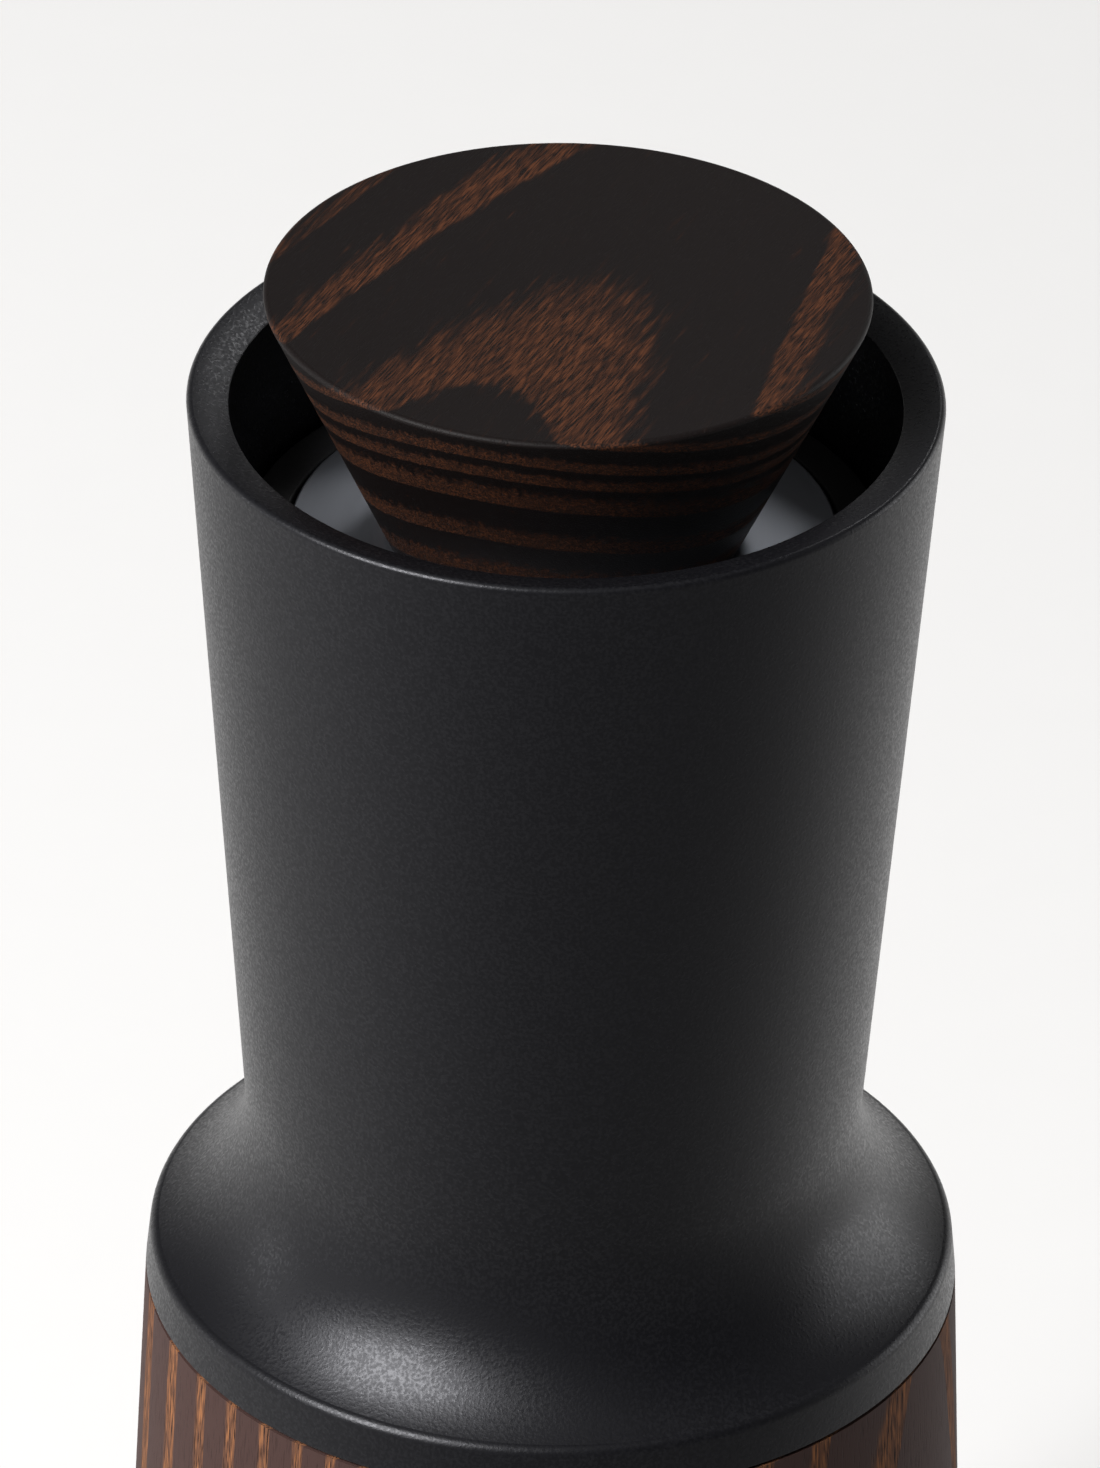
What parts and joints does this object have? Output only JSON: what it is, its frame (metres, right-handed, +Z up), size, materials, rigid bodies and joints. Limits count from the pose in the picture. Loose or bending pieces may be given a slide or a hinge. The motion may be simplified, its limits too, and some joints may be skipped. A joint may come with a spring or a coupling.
{
  "type": "hand coffee grinder",
  "caption": "Hand coffee grinder with a turned wood body on a catch cup, a flared black cup-shaped head that turns as the crank, and a conical wood lid.",
  "frame": {"origin": "centre of the foot ring's underside, on the table", "axes": "+Z up along the turning axis, towards the lid; X and Y across it"},
  "size_m": [0.0762, 0.0762, 0.1974],
  "materials": {
    "silicone": "matte",
    "ash": "dark stained, oiled, open grain",
    "powder_coat": "matte powder coat with a fine grain",
    "brushed_steel": "brushed",
    "satin_steel": "smooth satin",
    "aluminium": "machined",
    "black_nylon": "moulded, matte",
    "acetal": "machined, smooth",
    "bright_steel": "ground, bright",
    "burr_steel": "ground and hardened"
  },
  "bodies": {
    "catch_cup": {"foot_ring": "silicone", "catch_cup_shell": "ash", "catch_cup_liner": "brushed_steel"},
    "body": {"body_shell": "ash", "cup_socket": "aluminium", "cup_seal": "silicone", "bearing_frame": "black_nylon", "upper_bearing": "bright_steel", "lower_bearing": "bright_steel", "glide_ring": "acetal", "frame_screw_1": "bright_steel", "frame_screw_2": "bright_steel", "frame_screw_3": "bright_steel", "wave_spring": "bright_steel"},
    "head": {"crank_sleeve": "powder_coat", "hopper_ring": "black_nylon", "drive_spider": "aluminium", "spider_screw_1": "bright_steel", "spider_screw_2": "bright_steel", "spider_screw_3": "bright_steel", "drive_shaft": "bright_steel", "shaft_nut": "bright_steel", "spacer_sleeve": "aluminium", "inner_burr": "burr_steel", "burr_washer": "bright_steel", "burr_bolt": "bright_steel"},
    "carrier": {"burr_carrier": "aluminium", "ring_burr": "burr_steel"},
    "dial": {"adjust_dial": "aluminium"},
    "lid": {"lid_knob": "ash", "lid_plate": "satin_steel", "lid_gasket": "silicone", "lid_screw": "bright_steel"}
  },
  "joints": [
    {"name": "body_lift", "type": "slide", "parent": "catch_cup", "child": "body", "axis": [0, 0, 1], "range_m": [0, 0.03]},
    {"name": "crank_turn", "type": "hinge", "parent": "body", "child": "head", "pos_m": [0, 0, 0.108], "axis": [0, 0, -1], "continuous": true},
    {"name": "lid_lift", "type": "slide", "parent": "head", "child": "lid", "axis": [0, 0, 1], "range_m": [0, 0.03]},
    {"name": "dial_turn", "type": "hinge", "parent": "body", "child": "dial", "pos_m": [0, 0, 0.058], "axis": [0, 0, 1], "range_deg": [-150, 150]},
    {"name": "ring_burr_slide", "type": "slide", "parent": "body", "child": "carrier", "axis": [0, 0, 1], "range_m": [-0.00042, 0.00042]}
  ],
  "couplings": [
    {"joint": "ring_burr_slide", "follows": "dial_turn", "m_per_rad": 0.00015915}
  ]
}
